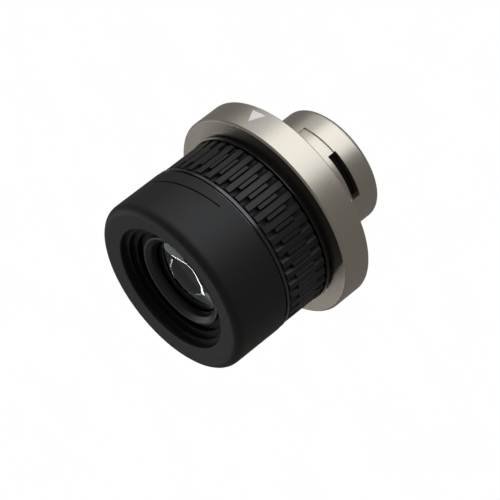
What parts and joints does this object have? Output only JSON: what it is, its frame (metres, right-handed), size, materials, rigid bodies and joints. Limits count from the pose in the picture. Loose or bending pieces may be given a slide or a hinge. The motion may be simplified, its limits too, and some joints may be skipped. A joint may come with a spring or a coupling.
{
  "type": "telescope eyepiece",
  "caption": "Fixed-power telescope eyepiece with a lock barrel, a wide indexed flange, a ribbed grip ring and a twist-up rubber eyecup.",
  "frame": {"origin": "centre of the flange seat, the rear face of the wide flange that rests on the telescope", "axes": "+Z along the optical axis towards the eye; the pale index mark on the flange faces -Y"},
  "size_m": [0.057, 0.057, 0.058],
  "materials": {
    "champagne_metal": "satin anodised champagne",
    "soft_rubber": "smooth matte soft rubber",
    "grip_rubber": "moulded grip rubber",
    "black_anodised": "satin black anodised",
    "matt_black": "matt black, light-absorbing",
    "bright_trim": "fine turned bright aluminium",
    "polished_trim": "polished black chrome",
    "lens_ring_finish": "satin dark grey",
    "index_paint": "pale enamel fill",
    "coated_glass": "multi-coated optical glass",
    "bare_steel": "turned stainless steel",
    "bronze": "turned bronze",
    "seal_rubber": "O-ring rubber"
  },
  "bodies": {
    "root": {"bayonet_barrel": "champagne_metal", "mount_flange": "champagne_metal", "index_mark": "index_paint", "body_seal": "seal_rubber", "main_body": "black_anodised", "grip_rear_ring": "polished_trim", "grip_sleeve": "grip_rubber", "cam_tube": "bronze", "friction_ring": "seal_rubber", "upper_centering_ring": "matt_black", "frame_screws": "bare_steel", "detent_spring": "bare_steel", "lens_cell": "matt_black", "eye_lens_retaining_ring": "lens_ring_finish", "eye_lens_seal": "seal_rubber", "eye_lens": "coated_glass", "front_doublet_crown": "coated_glass", "front_doublet_flint": "coated_glass", "rear_doublet_flint": "coated_glass", "rear_doublet_crown": "coated_glass", "field_lens": "coated_glass", "spacer_ring_front": "matt_black", "spacer_ring_middle": "matt_black", "field_stop": "matt_black", "field_lens_retaining_ring": "matt_black"},
    "click": {"click_ring": "bronze"},
    "eyecup": {"eyecup_rubber": "soft_rubber", "eyecup_trim_ring": "bright_trim", "eyecup_sleeve": "black_anodised", "guide_pins": "bare_steel", "eyecup_baffle": "matt_black"},
    "ball": {"detent_ball": "bare_steel"}
  },
  "joints": [
    {"name": "eyecup_twist", "type": "hinge", "parent": "root", "child": "click", "pos_m": [0, 0, 0.011], "axis": [0, 0, 1], "range_deg": [0, 100]},
    {"name": "eyecup_lift", "type": "slide", "parent": "click", "child": "eyecup", "axis": [0, 0, 1], "range_m": [0, 0.008]},
    {"name": "detent_ball_travel", "type": "slide", "parent": "root", "child": "ball", "axis": [0, 0, 1], "range_m": [0, 0.00035], "stiffness_N_per_m": 200, "springref_m": 0.001, "deforming": ["detent_spring"]}
  ],
  "couplings": [
    {"joint": "eyecup_lift", "follows": "eyecup_twist", "m_per_rad": 0.0045837}
  ]
}
